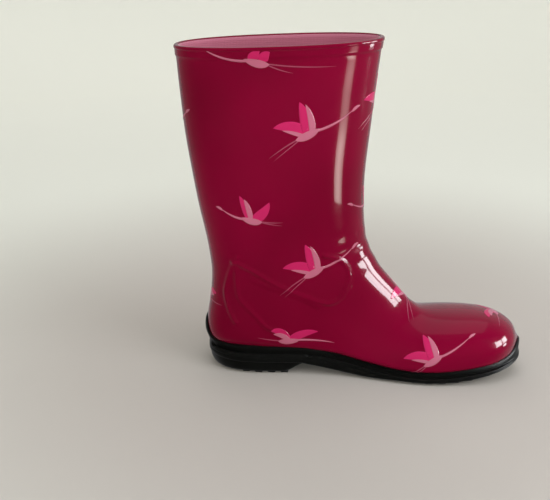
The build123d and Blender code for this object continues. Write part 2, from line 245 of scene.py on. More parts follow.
def relief(u, theta):
    """How far moulded details stand out of the plain face."""
    point = base_point(u, theta)
    flat = point.reshape(-1, 3)
    x, y, z = flat.T
    height = np.zeros(len(flat))
    near_ankle = (x > 20) & (x < 145) & (z > 34) & (z < 118)
    if near_ankle.any():
        side_view = flat[near_ankle][:, [0, 2]]
        off_middle = smoothstep(9, 17, np.abs(y[near_ankle]))
        for line, rise, width in MOULDED_LINES:
            away = distance_to_line(side_view, line) / width
            height[near_ankle] += rise * np.exp(-away ** 2) * off_middle
    # Soft rolls where the leg meets the instep, strongest at the front.
    forward = smoothstep(104, 142, x)
    roll = np.sin((z - 0.35 * x - 54) / 15 * 2 * math.pi)
    fade = np.exp(-((z - 112 + 0.2 * (x - 130)) / 17) ** 2)
    height += 0.2 * roll * fade * forward
    # Slow waves of a hollow rubber casting.
    height += 0.16 * np.sin(x / 23 + 1.3 * np.sin(z / 41)) * np.sin(z / 31 + y / 27 + 0.7)
    height += 0.09 * np.sin(x / 11 - z / 17 + 1.1) * np.sin(y / 13 + z / 23)
    # Raised band round the mouth.
    height += BAND_PROUD * (1 - smoothstep(BAND_HEIGHT - 1.4, BAND_HEIGHT + 1.2, mouth_drop(flat)))
    return height.reshape(u.shape)


def mouth_drop(points):
    """How far points lie below the mouth's slanted plane."""
    back_x, back_z, front_x, front_z = STATIONS[0][:4]
    plane = back_z + (points[..., 0] - back_x) * (front_z - back_z) / (front_x - back_x)
    return plane - points[..., 2]


def outer_point(u, theta, proud=0.0):
    """Point on the finished outer face, or this far out of it."""
    return base_point(u, theta) + (relief(u, theta) + proud)[..., None] * base_normal(u, theta)


# ---------------- meshes
def new_object(name, points, faces, material, body="boot"):
    """A smooth-shaded piece from points in drawing millimetres, riding on its body."""
    mesh = bpy.data.meshes.new(name)
    mesh.from_pydata((np.asarray(points) + HOME) * MM, [], faces)
    mesh.update()
    made = bmesh.new()
    made.from_mesh(mesh)
    bmesh.ops.recalc_face_normals(made, faces=made.faces)
    made.to_mesh(mesh)
    made.free()
    mesh.polygons.foreach_set("use_smooth", [True] * len(mesh.polygons))
    mesh.materials.append(material)
    thing = bpy.data.objects.new(name, mesh)
    bpy.context.scene.collection.objects.link(thing)
    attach(thing, body)
    return thing


def band_faces(here, there, count):
    """Quads between the two rings of count points that start at these numbers."""
    return [(here + step, here + (step + 1) % count, there + (step + 1) % count, there + step)
            for step in range(count)]


def ring_faces(rings, count, closed=False):
    """Quads between rings of count points each, the last joined to the first if closed."""
    faces = []
    for ring in range(rings if closed else rings - 1):
        faces += band_faces(ring * count, (ring + 1) % rings * count, count)
    return faces


def fan_faces(start, count, tip):
    """Triangles from the ring of count points that starts at this number to one tip."""
    return [(start + step, start + (step + 1) % count, tip) for step in range(count)]


def renumbered(faces, first):
    """The same faces for points that start at this number."""
    return [tuple(index + first for index in face) for face in faces]


def capped_rings(rings, tip):
    """Points and faces of a sleeve of rings that closes at its tip."""
    count = len(rings[0])
    faces = ring_faces(len(rings), count) + fan_faces((len(rings) - 1) * count, count, len(rings) * count)
    return np.vstack([*rings, tip[None]]), faces


def wall_between(outside, outside_tip, inside, inside_tip):
    """Points and faces of a wall that is open at the mouth, from rings of its two faces."""
    points, faces = capped_rings(outside, outside_tip)
    inner_points, inner_faces = capped_rings(inside, inside_tip)
    faces += renumbered(inner_faces, len(points)) + band_faces(0, len(points), len(outside[0]))
    return np.vstack([points, inner_points]), faces


class Parts:
    """Collects closed forms into one mesh."""

    def __init__(self):
        self.points, self.faces, self.total = [], [], 0

    def add(self, points, faces):
        self.points.append(np.asarray(points, float).reshape(-1, 3))
        self.faces += renumbered(faces, self.total)
        self.total += len(self.points[-1])

    def make(self, name, material, body="boot"):
        return new_object(name, np.vstack(self.points), self.faces, material, body)


def thread(parts, path, radius):
    """Round thread along a path, closed at both ends."""
    sides = 6
    path = np.asarray(path, float)
    run = unit(np.gradient(path, axis=0))
    across = unit(np.cross(run, (0.3, 1.0, 0.2)))
    other = np.cross(run, across)
    angles = np.linspace(0, 2 * math.pi, sides, endpoint=False)
    rings = (path[:, None] + radius * (np.cos(angles)[:, None] * across[:, None]
                                       + np.sin(angles)[:, None] * other[:, None]))
    faces = ring_faces(len(path), sides)
    faces.append(tuple(range(sides)))
    faces.append(tuple((len(path) - 1) * sides + step for step in reversed(range(sides))))
    parts.add(rings, faces)


# ---------------- materials
class Nodes:
    """Short way to write a material's node tree."""

    def __init__(self, name):
        self.material = bpy.data.materials.new(name)
        self.material.use_nodes = True
        self.tree = self.material.node_tree
        self.shader = self.tree.nodes["Principled BSDF"]
        self.place = self.add("ShaderNodeTexCoord").outputs["Object"]

    def add(self, kind, links=(), **values):
        node = self.tree.nodes.new(kind)
        for key, value in values.items():
            setattr(node, key, value)
        for socket, value in links:
            if isinstance(value, bpy.types.NodeSocket):
                self.tree.links.new(value, node.inputs[socket])
            else:
                node.inputs[socket].default_value = value
        return node

    def noise(self, scale, detail=3.0, rough=0.5, place=None):
        return self.add("ShaderNodeTexNoise", [("Vector", place or self.place), ("Scale", scale),
                                               ("Detail", detail), ("Roughness", rough)]).outputs["Fac"]

    def ramp(self, value, low, high):
        """Maps 0 to 1 onto low to high, as colours or as numbers."""
        if isinstance(low, tuple):
            links = [(0, value), (6, (*low, 1)), (7, (*high, 1))]
            return self.add("ShaderNodeMix", links, data_type="RGBA").outputs[2]
        links = [("Value", value), ("To Min", low), ("To Max", high)]
        return self.add("ShaderNodeMapRange", links).outputs[0]

    def window(self, value, low, high):
        """0 below low and 1 above high, smooth between."""
        return self.add("ShaderNodeMapRange", [("Value", value), ("From Min", low), ("From Max", high)],
                        interpolation_type="SMOOTHSTEP").outputs[0]

    def math(self, operation, first, second=0.0):
        return self.add("ShaderNodeMath", [(0, first), (1, second)], operation=operation).outputs[0]

    def bands(self, axis, scale, *settings):
        """Soft even bands, one after another along an axis."""
        links = [("Vector", self.place), ("Scale", scale), *settings]
        return self.add("ShaderNodeTexWave", links, wave_type="BANDS", bands_direction=axis).outputs["Fac"]

    def stretched(self, scale):
        return self.add("ShaderNodeMapping", [("Vector", self.place), ("Scale", scale)]).outputs[0]

    def bump(self, height, strength, distance, onto=None):
        links = [("Height", height), ("Strength", strength), ("Distance", distance)]
        if onto:
            links.append(("Normal", onto))
        return self.add("ShaderNodeBump", links).outputs[0]

    def finish(self, colour, rough, normal, **fixed):
        """Joins up the shader and sets its constant values."""
        for socket, source in (("Base Color", colour), ("Roughness", rough), ("Normal", normal)):
            self.tree.links.new(source, self.shader.inputs[socket])
        for name, value in fixed.items():
            self.shader.inputs[name.replace("_", " ")].default_value = value
        return self.material


def glossy_rubber(name, deep, bright):
    """Moulded glossy rubber: slow colour clouds, fine scuffs, a little orange peel and a clear coat."""
    n = Nodes(name)
    clouds = n.noise(9, 2)
    colour = n.ramp(n.window(clouds, 0.3, 0.7), deep, bright)
    scuffs = n.noise(1, 5, 0.7, n.stretched((40, 60, 160)))
    worn = n.window(scuffs, 0.62, 0.8)
    rough = n.math("ADD", n.ramp(n.noise(30, 4), 0.13, 0.22), n.math("MULTIPLY", worn, 0.08))
    peel = n.noise(420, 2)
    soft = n.noise(55, 1)
    normal = n.bump(soft, 0.12, 0.0012, n.bump(peel, 0.05, 0.0003))
    return n.finish(colour, rough, normal, Specular_IOR_Level=0.22,
                    Coat_Weight=1.0, Coat_Roughness=0.03, Coat_IOR=1.5)


def sole_rubber(name):
    """Black matt rubber with fine grain and a little pale dust."""
    n = Nodes(name)
    clouds = n.noise(26, 4)
    dust = n.window(n.noise(90, 6, 0.65), 0.56, 0.8)
    colour = n.ramp(n.math("MULTIPLY", dust, 0.5), (0.0065, 0.0068, 0.0062), (0.030, 0.029, 0.027))
    rough = n.math("ADD", n.ramp(clouds, 0.30, 0.44), n.math("MULTIPLY", dust, 0.2))
    grain = n.noise(900, 2)
    normal = n.bump(n.noise(120, 3), 0.12, 0.0008, n.bump(grain, 0.16, 0.0002))
    return n.finish(colour, rough, normal, Specular_IOR_Level=0.45)


def knit(name, dark, light, loops=520.0):
    """Fine jersey: rows of small loops with a fuzzy face."""
    n = Nodes(name)
    wales = n.bands("X", loops / 2, ("Distortion", 1.2), ("Detail", 1.0), ("Detail Scale", 2.0))
    courses = n.bands("Z", loops / 2.6, ("Distortion", 1.0), ("Detail", 1.0))
    loop = n.math("MULTIPLY", wales, courses)
    fuzz = n.noise(1500, 3)
    blend = n.math("ADD", n.math("MULTIPLY", loop, 0.6), n.math("MULTIPLY", n.noise(40, 4), 0.4))
    colour = n.ramp(blend, dark, light)
    normal = n.bump(fuzz, 0.25, 0.0002, n.bump(loop, 0.35, 0.0004))
    return n.finish(colour, n.ramp(fuzz, 0.78, 0.95), normal, Sheen_Weight=0.4, Sheen_Roughness=0.5)


def grainy(name, dark, light, scale, rough, depth, metallic=0.0):
    """Plain bonded material with its own grain."""
    n = Nodes(name)
    grain = n.noise(scale, 6, 0.65)
    colour = n.ramp(n.window(grain, 0.3, 0.7), dark, light)
    normal = n.bump(n.noise(scale * 3, 3), 0.3, depth)
    return n.finish(colour, n.ramp(grain, rough - 0.08, rough + 0.08), normal, Metallic=metallic)


def woven(name, dark, light, threads):
    """Plain weave of crossing threads."""
    n = Nodes(name)
    weave = n.math("MULTIPLY", *(n.bands(axis, threads, ("Distortion", 0.4)) for axis in "XZ"))
    colour = n.ramp(n.math("ADD", weave, n.math("MULTIPLY", n.noise(60, 3), 0.3)), dark, light)
    return n.finish(colour, n.ramp(n.noise(300), 0.75, 0.92), n.bump(weave, 0.5, 0.0004))


shell_rubber = glossy_rubber("shell_rubber", (0.216, 0.0006, 0.0245), (0.276, 0.0011, 0.0335))
print_pale = glossy_rubber("print_pale", (0.58, 0.150, 0.245), (0.70, 0.200, 0.320))
print_faint = glossy_rubber("print_faint", (0.40, 0.060, 0.125), (0.47, 0.080, 0.155))
print_pink = glossy_rubber("print_pink", (0.62, 0.016, 0.125), (0.74, 0.026, 0.165))
black_rubber = sole_rubber("sole_rubber")
lining_knit = knit("lining_knit", (0.57, 0.165, 0.265), (0.67, 0.225, 0.335))
seam_thread = knit("seam_thread", (0.52, 0.140, 0.225), (0.66, 0.210, 0.315), 900.0)
footbed_cloth = knit("footbed_cloth", (0.30, 0.075, 0.125), (0.50, 0.160, 0.235))
footbed_foam = grainy("footbed_foam", (0.020, 0.020, 0.022), (0.050, 0.050, 0.054), 700, 0.85, 0.0006)
canvas = woven("canvas", (0.19, 0.16, 0.11), (0.36, 0.31, 0.24), 420)
board = grainy("board", (0.14, 0.10, 0.055), (0.27, 0.20, 0.12), 300, 0.8, 0.0003)
filler = grainy("filler", (0.09, 0.05, 0.025), (0.22, 0.14, 0.07), 220, 0.85, 0.0008)
shank_steel = grainy("shank_steel", (0.42, 0.42, 0.43), (0.60, 0.60, 0.62), 500, 0.35, 0.0001, 1.0)

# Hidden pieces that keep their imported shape.
CARRIED = {
    "toe_puff": canvas, "heel_counter": canvas, "ankle_pad_inner": canvas, "ankle_pad_outer": canvas,
    "lasting_board": board, "board_stitching": seam_thread, "forefoot_filler": filler,
    "heel_filler": filler, "shank": shank_steel,
}
for node_name, node_material in CARRIED.items():
    node_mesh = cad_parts[node_name].data
    node_mesh.materials.clear()
    node_mesh.materials.append(node_material)


# ---------------- upper
def nose_rings(before, tip):
    """Rounds off the front of the toe past its last section: rings, then the foremost point."""
    centre = tip.mean(0)
    slope, inward = unit(tip - before), unit(centre - tip)
    bulge = 6
    apex = centre + np.array([2.0, 0, 0.4])
    rings = []
    for t in (0.16, 0.34, 0.52, 0.70, 0.86):
        stay = 2 * t ** 3 - 3 * t ** 2 + 1
        leave, arrive = t ** 3 - 2 * t ** 2 + t, t ** 3 - t ** 2
        rings.append(stay * tip + leave * slope * bulge + (1 - stay) * apex + arrive * inward * bulge)
    return rings, apex


def make_upper():
    """The rubber wall: outer face with its relief, rounded toe, and the inner face."""
    theta = angles_round(AROUND)
    theta = theta + 0.18 * np.sin(2 * theta)
    # Closest at the band's edge and where the moulded lines are.
    outer_rows = np.concatenate([[0.02, 0.10], np.linspace(0.16, 0.66, 14), even_rows(0.72, 8.9, 45),
                                 even_rows(9, 22, 118), even_rows(22.1, LAST, 64)])
    outside = [outer_point(np.full(AROUND, u), theta) for u in outer_rows]
    nose, apex = nose_rings(*outside[-2:])
    inside = []
    for u in even_rows(0.05, LAST - 0.6, 50):
        full = np.full(AROUND, u)
        inside.append(base_point(full, theta) - SHELL * base_normal(full, theta))
    points, faces = wall_between(outside + nose, apex, inside, inside[-1].mean(0))
    upper = new_object("upper", points, faces, shell_rubber)
    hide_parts("upper_shell")


def make_bead():
    """Rolled bead that caps the band, the wall and the lining."""
    theta = angles_round(AROUND)
    mouth, below = np.zeros(AROUND), np.full(AROUND, 0.1)
    lip = base_point(mouth, theta)
    up = unit(lip - base_point(below, theta))
    out = base_normal(below, theta)
    # Out of the plain face and up from the lip, from the bead's foot outside over to its foot inside.
    profile = [(0.3, -3.4), (0.82, -3.25), (0.87, -2.95), (1.17, -2.72), (1.38, -2.2), (1.42, -1.5),
               (1.28, -0.8), (0.96, -0.28), (0.5, -0.04), (-0.2, 0.0), (-1.0, -0.02), (-1.7, -0.16),
               (-2.1, -0.55), (-2.26, -1.1), (-2.28, -2.1), (-2.2, -2.9), (-2.0, -3.3), (-1.2, -3.4)]
    rings = [lip + aside * out + height * up for aside, height in profile]
    faces = ring_faces(len(rings), AROUND, closed=True)
    bead = new_object("mouth_bead", np.vstack(rings), faces, shell_rubber)
    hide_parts("topline_band")


make_upper()
make_bead()


# ---------------- print
class Surface:
    """Finds places on the outer face and walks over it without stretching what is laid on it."""

    def __init__(self):
        u = np.linspace(0.4, LAST - 0.3, 240)
        theta = angles_round(240, 0.01)
        self.grid = np.array(np.meshgrid(u, theta, indexing="ij")).reshape(2, -1)
        self.points = base_point(*self.grid)

    def nearest(self, point):
        """The face's u and theta nearest to a point."""
        return self.grid[:, np.linalg.norm(self.points - point, axis=1).argmin()]

    def slopes(self, u, theta):
        """How the face's point moves with u and with theta."""
        step = 0.01
        along = base_point(np.clip(u + step, 0, LAST), theta) - base_point(np.clip(u - step, 0, LAST), theta)
        around = base_point(u, theta + step) - base_point(u, theta - step)
        return along / (2 * step), around / (2 * step)

    def walk(self, start, heading, flat):
        """Where flat points end up when laid on the face from start, x along heading."""
        steps = 18
        count = len(flat)
        u, theta = np.full(count, start[0]), np.full(count, start[1])
        normal = base_normal(u, theta)
        ahead = np.tile(np.asarray(heading, float), (count, 1))
        ahead = unit(ahead - (ahead * normal).sum(1, keepdims=True) * normal)
        way = flat[:, :1] * ahead + flat[:, 1:] * np.cross(normal, ahead)
        step = np.linalg.norm(way, axis=1) / steps
        way = unit(way)
        for _ in range(steps):
            along, around = self.slopes(u, theta)
            normal = base_normal(u, theta)
            way = unit(way - (way * normal).sum(1, keepdims=True) * normal)
            a, b, c = (along ** 2).sum(1), (along * around).sum(1), (around ** 2).sum(1)
            d, e = (way * along).sum(1), (way * around).sum(1)
            det = a * c - b * b
            u = np.clip(u + step * (c * d - b * e) / det, 0.16, LAST - 0.05)
            theta = theta + step * (a * e - b * d) / det
            theta = (theta + math.pi) % (2 * math.pi) - math.pi
        return u, theta


surface = Surface()


def leaf_outline(base, bend, tip, width, peak, count, across):
    """Flat grid of a pointed leaf along a bent middle line, widest at the share called peak."""
    base, bend, tip = (np.array(point, float) for point in (base, bend, tip))
    t = np.linspace(0, 1, count)[:, None]
    middle = (1 - t) ** 2 * base + 2 * t * (1 - t) * bend + t ** 2 * tip
    run = unit(np.gradient(middle, axis=0))
    side = np.stack([-run[:, 1], run[:, 0]], 1)
    swell = (t / peak) ** (0.75 * peak / (1 - peak)) * ((1 - t) / (1 - peak)) ** 0.75
    spread = np.linspace(-1, 1, across)
    return middle[:, None] + (np.maximum(swell, 0.04) * width / 2 * side)[:, None] * spread[None, :, None]


# A plain flying bird seen from the side, in millimetres from its shoulder, head towards +x:
# each leaf is its colour, start, bend, tip, greatest width, where it is widest and its layer.
GLIDING_BIRD = [
    ("pink", (1, -1), (-1, 12), (-6, 25), 10.5, 0.30, 0),
    ("pale", (3, -1), (4.5, 11), (-1.5, 23), 5.4, 0.35, 1),
    ("pink", (0, -1), (-13, 9), (-27, 5), 10.0, 0.30, 0),
    ("pale", (-2, -2.6), (-11, 1), (-20, 3), 3.2, 0.30, 1),
    ("pale", (-10, -5.2), (-1, -2.6), (9, 3.2), 6.4, 0.50, 2),
    ("pale", (5, 1.4), (22, 4.5), (39, 17), 2.0, 0.20, 1),
    ("pale", (36, 14.2), (39, 17.6), (43.5, 18.4), 2.3, 0.45, 2),
    ("faint", (-7, -4), (-18, -9), (-32, -20), 1.1, 0.25, 1),
    ("faint", (-6, -4.4), (-16, -12), (-28, -22), 0.9, 0.25, 0),
]
RISING_BIRD = [
    ("pink", (1, -1), (4, 10), (8, 20), 6.2, 0.34, 0),
    ("pale", (0, -1), (0.5, 10), (4.5, 17), 4.6, 0.36, 1),
    ("pink", (-1, -1), (-11, 3), (-16, 14), 8.6, 0.34, 0),
    ("pale", (-9, -2.4), (-2, -3.4), (8, 1.2), 5.8, 0.50, 2),
    ("pale", (5, 0.2), (14, 0), (26, 8.5), 1.9, 0.20, 1),
    ("pale", (24, 6.6), (26.4, 9), (30, 9.6), 2.1, 0.45, 2),
    ("faint", (-7, -2), (-16, -4), (-26, -3.6), 1.0, 0.25, 1),
    ("faint", (-7, -2.4), (-16, -5.4), (-25, -6.4), 0.9, 0.25, 0),
]
LOW_BIRD = [
    ("pink", (0, -1), (-8, 9), (-17, 6.5), 7.2, 0.34, 0),
    ("pale", (1, -1), (-6, 5), (-14, 3.6), 4.4, 0.36, 1),
    ("pink", (0, -1), (9, 9), (22, 10.5), 7.4, 0.30, 0),
    ("pale", (-9, -2.2), (-2, -2.6), (9, 1.4), 5.4, 0.50, 2),
    ("pale", (5, 0.5), (20, 3.6), (38, 2.6), 1.8, 0.20, 1),
    ("faint", (-7, -1.6), (-16, -2.5), (-27, -1.5), 1.0, 0.25, 1),
]
LEVEL_BIRD = [
    ("pink", (-4, -1), (-4, 3), (-9, 6.4), 7.4, 0.40, 0),
    ("pink", (4, -1), (3, 3), (-2, 6.6), 7.0, 0.40, 1),
    ("pale", (-9, -2.4), (-2, -3.4), (9, 0.4), 5.6, 0.50, 2),
    ("pale", (5, -0.4), (22, -3), (40, 6), 1.8, 0.20, 1),
    ("faint", (-7, -2), (-28, -4), (-56, -2), 1.0, 0.25, 1),
    ("faint", (-7, -2.4), (-16, -6.4), (-26, -7.6), 0.9, 0.25, 0),
]

# Each bird: shape, a point beside the boot that picks the nearest place, heading, turn in degrees, size.
TO_TOE, TO_HEEL, TO_OUTER, TO_INNER = (1, 0, 0), (-1, 0, 0), (0, 1, 0), (0, -1, 0)
FLOCK = [
    (LEVEL_BIRD, (57, -60, 269.6), TO_HEEL, 2, 1.1),
    (GLIDING_BIRD, (101, -60, 212), TO_TOE, 2, 1.0),
    (RISING_BIRD, (49, -60, 137), TO_HEEL, -4, 1.0),
    (GLIDING_BIRD, (108, -60, 96), TO_TOE, 6, 0.95),
    (LOW_BIRD, (84, -60, 30), TO_TOE, -6, 1.0),
    (GLIDING_BIRD, (205, -60, 25), TO_TOE, 12, 0.9),
    (RISING_BIRD, (-20, 14, 213), TO_INNER, 4, 1.0),
    (RISING_BIRD, (180, 6, 146), TO_INNER, -6, 0.9),
    (GLIDING_BIRD, (190, 10, 228), TO_OUTER, 4, 0.9),
    (LOW_BIRD, (262, 10, 60), TO_OUTER, 4, 1.0),
    (GLIDING_BIRD, (196, 20, 80), TO_OUTER, -4, 0.9),
    (GLIDING_BIRD, (92, 60, 244), TO_HEEL, 2, 1.0),
    (LOW_BIRD, (42, 60, 190), TO_TOE, 4, 1.0),
    (GLIDING_BIRD, (112, 60, 160), TO_HEEL, -6, 1.0),
    (RISING_BIRD, (52, 60, 112), TO_TOE, 3, 1.0),
    (GLIDING_BIRD, (126, 60, 76), TO_HEEL, 5, 0.95),
    (LOW_BIRD, (74, 60, 42), TO_HEEL, 4, 1.0),
    (GLIDING_BIRD, (206, 60, 26), TO_HEEL, -8, 0.9),
    (LOW_BIRD, (-20, -4, 66), TO_OUTER, 0, 0.9),
]


def lay_bird(parts, shape, beside, heading, turn, size):
    """Lays a flat bird on the rubber as thin closed leaves, each in its colour's parts."""
    start = surface.nearest(beside)
    normal = base_normal(start[:1], start[1:])[0]
    flip = np.sign(np.cross(normal, heading) @ (-0.3, 0, 1))
    c, s = math.cos(math.radians(turn)), math.sin(math.radians(turn))
    for colour, base, bend, tip, width, peak, layer in shape:
        # Necks and legs are long and narrow.
        rows, columns = (34, 3) if width < 2.1 else (22, 9)
        flat = leaf_outline(base, bend, tip, width, peak, rows, columns).reshape(-1, 2) * size
        flat = np.stack([flat[:, 0] * c - flat[:, 1] * s, flip * (flat[:, 0] * s + flat[:, 1] * c)], 1)
        u, theta = surface.walk(start, heading, flat)
        top = outer_point(u, theta, INK + INK_LAYER * layer)
        under = outer_point(u, theta, -INK_ROOT)
        total = rows * columns
        faces = []
        for row in range(rows - 1):
            for here in range(row * columns, row * columns + columns - 1):
                quad = (here, here + 1, here + columns + 1, here + columns)
                faces += [quad, tuple(index + total for index in reversed(quad))]
        edge = list(range(columns)) + list(range(2 * columns - 1, total, columns))
        edge += list(range(total - 2, total - columns - 1, -1))
        edge += list(range(total - 2 * columns, 0, -columns))
        for here, ahead in zip(edge, edge[1:] + edge[:1]):
            faces.append((ahead, here, here + total, ahead + total))
        parts[colour].add(np.vstack([top, under]), faces)


prints = {"pale": Parts(), "pink": Parts(), "faint": Parts()}
for bird in FLOCK:
    lay_bird(prints, *bird)
for colour, material in (("pale", print_pale), ("pink", print_pink), ("faint", print_faint)):
    piece = prints[colour].make("bird_print_" + colour, material)


# ---------------- sole
def outline_at(count):
    """Sole outline from the heel along the inner side to the toe, and back along the outer side.

    Point k and point -k have the same x, so a cap can be drawn straight across between them."""
    line = smooth_line(SOLE_OUTLINE, 1600, closed=True)
    toe, heel = line[:, 0].argmax(), line[:, 0].argmin()
    line = np.roll(line, -toe, axis=0)
    heel = (heel - toe) % len(line)
    outer_side, inner_side = line[:heel + 1][::-1], np.vstack([line[heel:], line[:1]])
    low, high = line[heel, 0], line[0, 0]
    x = (low + high) / 2 - (high - low) / 2 * np.cos(np.linspace(0, math.pi, count))
    forward, back = (np.stack([x, np.interp(x, *side.T)], 1) for side in (inner_side, outer_side))
    return np.vstack([forward, back[::-1][1:-1]])


def inward_of(line):
    """Directions into a closed line."""
    run = unit(np.roll(line, -1, axis=0) - np.roll(line, 1, axis=0))
    return np.stack([-run[:, 1], run[:, 0]], 1)


def drawn_in(line, inset):
    """A closed line moved inward by inset."""
    return line + inward_of(line) * inset


def slab(parts, line, rings):
    """Closed form from rings (inset, height function) of a line made by outline_at, capped at both ends."""
    count = len(line)
    made = []
    for inset, height in rings:
        ring = drawn_in(line, inset)
        made.append(np.column_stack([ring, height(ring[:, 0])]))
    faces = ring_faces(len(rings), count)
    across = 10
    extra = []
    for number in (0, len(rings) - 1):
        base, ring, height = number * count, made[number], rings[number][1]
        columns = [[base] * (across + 1)]
        for k in range(1, count // 2):
            row = [base + k]
            for step in range(1, across):
                spot = ring[k] * (1 - step / across) + ring[-k] * step / across
                row.append(len(rings) * count + len(extra))
                extra.append((spot[0], spot[1], float(height(spot[0]))))
            columns.append(row + [base + count - k])
        columns.append([base + count // 2] * (across + 1))
        for here, there in zip(columns, columns[1:]):
            for step in range(across):
                # Where a column is one point, its quads are triangles.
                quad = tuple(dict.fromkeys((here[step], here[step + 1], there[step + 1], there[step])))
                if len(quad) > 2:
                    faces.append(quad)
    parts.add(np.vstack([*made, np.array(extra)]), faces)


PAIRS = 150
outline = outline_at(PAIRS)
outsole_top, outsole_bottom = height_line(OUTSOLE_TOP), height_line(OUTSOLE_BOTTOM)
rand_top, floor_height = height_line(RAND_TOP), height_line(FLOOR)


def shifted(line, lift):
    """A height function this much higher than another."""
    return lambda x: line(x) + lift


def level_at(height):
    """A height function that is the same everywhere."""
    return lambda x: np.full_like(x, height)


def between(low, high, share):
    """A height function part way from one to another."""
    return lambda x: low(x) * (1 - share) + high(x) * share


def tread_bar(parts, first, point, top, bottom, margin_line):
    """V-shaped tread bar across the sole from x = first, its middle this far ahead, with rounded edges."""
    half = len(margin_line) // 2
    inner_side, outer_side = margin_line[:half + 1], margin_line[half:][::-1]
    # The bar ends where the margin is narrowest under it.
    ends = [first + 1, first + TREAD_WIDTH]
    reach_in, reach_out = np.interp(ends, *inner_side.T).max(), np.interp(ends, *outer_side.T).min()
    spread = np.linspace(-1, 1, 25)
    y = np.where(spread < 0, -spread * reach_in, spread * reach_out)
    middle = first + point * np.clip(1 - (np.abs(y) - 6) / 60, 0, 1)
    # How far in from the bar's edge, and how far down.
    profile = [(0.0, 0.0), (0.25, 0.6), (0.55, 0.92), (1.0, 1.0)]
    rows = profile + [(TREAD_WIDTH - inset, down) for inset, down in reversed(profile)]
    rings = []
    for inset, down in rows:
        x = middle + inset
        rings.append(np.column_stack([x, y, between(top, bottom, down)(x)]))
    count, length = len(rings), len(y)
    # Rings run across the sole and stay open, so the quads from their last point to the first go.
    faces = [face for number, face in enumerate(ring_faces(count, length, closed=True))
             if number % length < length - 1]
    faces.append(tuple(ring * length for ring in range(count)))
    faces.append(tuple(ring * length + length - 1 for ring in reversed(range(count))))
    parts.add(rings, faces)


def make_outsole():
    """Thin cup under the whole boot, with a groove round its edge and bars under the forefoot."""
    parts = Parts()
    from_top = [(3.4, -0.2), (1.6, -0.1), (1.0, 0.05), (0.5, 0.0), (0.15, -0.3), (0.0, -0.9),
                (0.05, -1.5), (0.35, -1.75), (0.35, -2.0), (0.05, -2.25)]
    from_bottom = [(0.45, 0.45), (0.95, 0.08), (1.8, 0.0)]
    rings = [(inset, shifted(outsole_top, lift)) for inset, lift in from_top]
    for inset, share in ((0.0, 0.4), (0.15, 0.2)):
        rings.append((inset, between(outsole_bottom, outsole_top, share)))
    rings += [(inset, shifted(outsole_bottom, lift)) for inset, lift in from_bottom]
    slab(parts, outline, rings)

    def ground(x):
        return np.maximum(outsole_bottom(x) - 2.0, 0.0)

    margin_line = drawn_in(outline, 4.0)
    for number in range(9):
        tread_bar(parts, 141 + TREAD_PITCH * number, 7.0, shifted(outsole_bottom, 0.5), ground, margin_line)
    piece = parts.make("outsole_cup", black_rubber)
    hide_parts("outsole")


def make_heel():
    """Heel block that tapers down to its ground face, with its own tread bars."""
    parts = Parts()

    def heel_bottom(x):
        """Flat above the bars, then curving up to the outsole at the front edge."""
        return 2.0 + 9.0 * smoothstep(79, HEEL_FRONT, x)

    count = 80
    fine = outline_at(PAIRS * 2)
    half = len(fine) // 2
    x = fine[0, 0] + (HEEL_FRONT - fine[0, 0]) * (1 - np.cos(np.linspace(0, math.pi / 2, count)))
    y_in = np.interp(x, *fine[:half + 1].T)
    y_out = np.interp(x, *np.vstack([fine[:1], fine[half:][::-1]]).T)
    heel_line = np.vstack([np.column_stack([x, y_in]), np.column_stack([x, y_out])[::-1][:-1]])
    total = len(heel_line)
    rings = []
    for inset, share in ((0.9, 0.0), (1.0, 0.12), (1.25, 0.5), (1.6, 0.82), (2.2, 0.96), (3.2, 1.0)):
        ring = drawn_in(heel_line, inset)
        ring[count - 1:count + 1, 0] = HEEL_FRONT
        # The back slants forward on its way down.
        slant = 2.6 * max(share - 0.35, 0) * np.clip(1 - (ring[:, 0] - ring[:, 0].min()) / 26, 0, 1)
        height = between(level_at(11.3), heel_bottom, share)(ring[:, 0])
        rings.append(np.column_stack([ring[:, 0] + slant, ring[:, 1], height]))
    faces = ring_faces(len(rings), total)
    for base in (0, (len(rings) - 1) * total):
        for k in range(count - 1):
            quad = (base + k, base + k + 1, base + total - k - 1, base + (total - k) % total)
            faces.append(tuple(dict.fromkeys(quad)))
    parts.add(rings, faces)
    margin_line = drawn_in(outline, 4.5)
    for number in range(6):
        tread_bar(parts, 19 + TREAD_PITCH * number, 4.0, level_at(2.4), level_at(0.0), margin_line)
    piece = parts.make("heel_lift", black_rubber)
    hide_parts("heel_block")


def averaged(values):
    """Each column of a closed band averaged a little with its neighbours."""
    for _ in range(3):
        values = (np.roll(values, 1, axis=1) + 2 * values + np.roll(values, -1, axis=1)) / 4
    return values


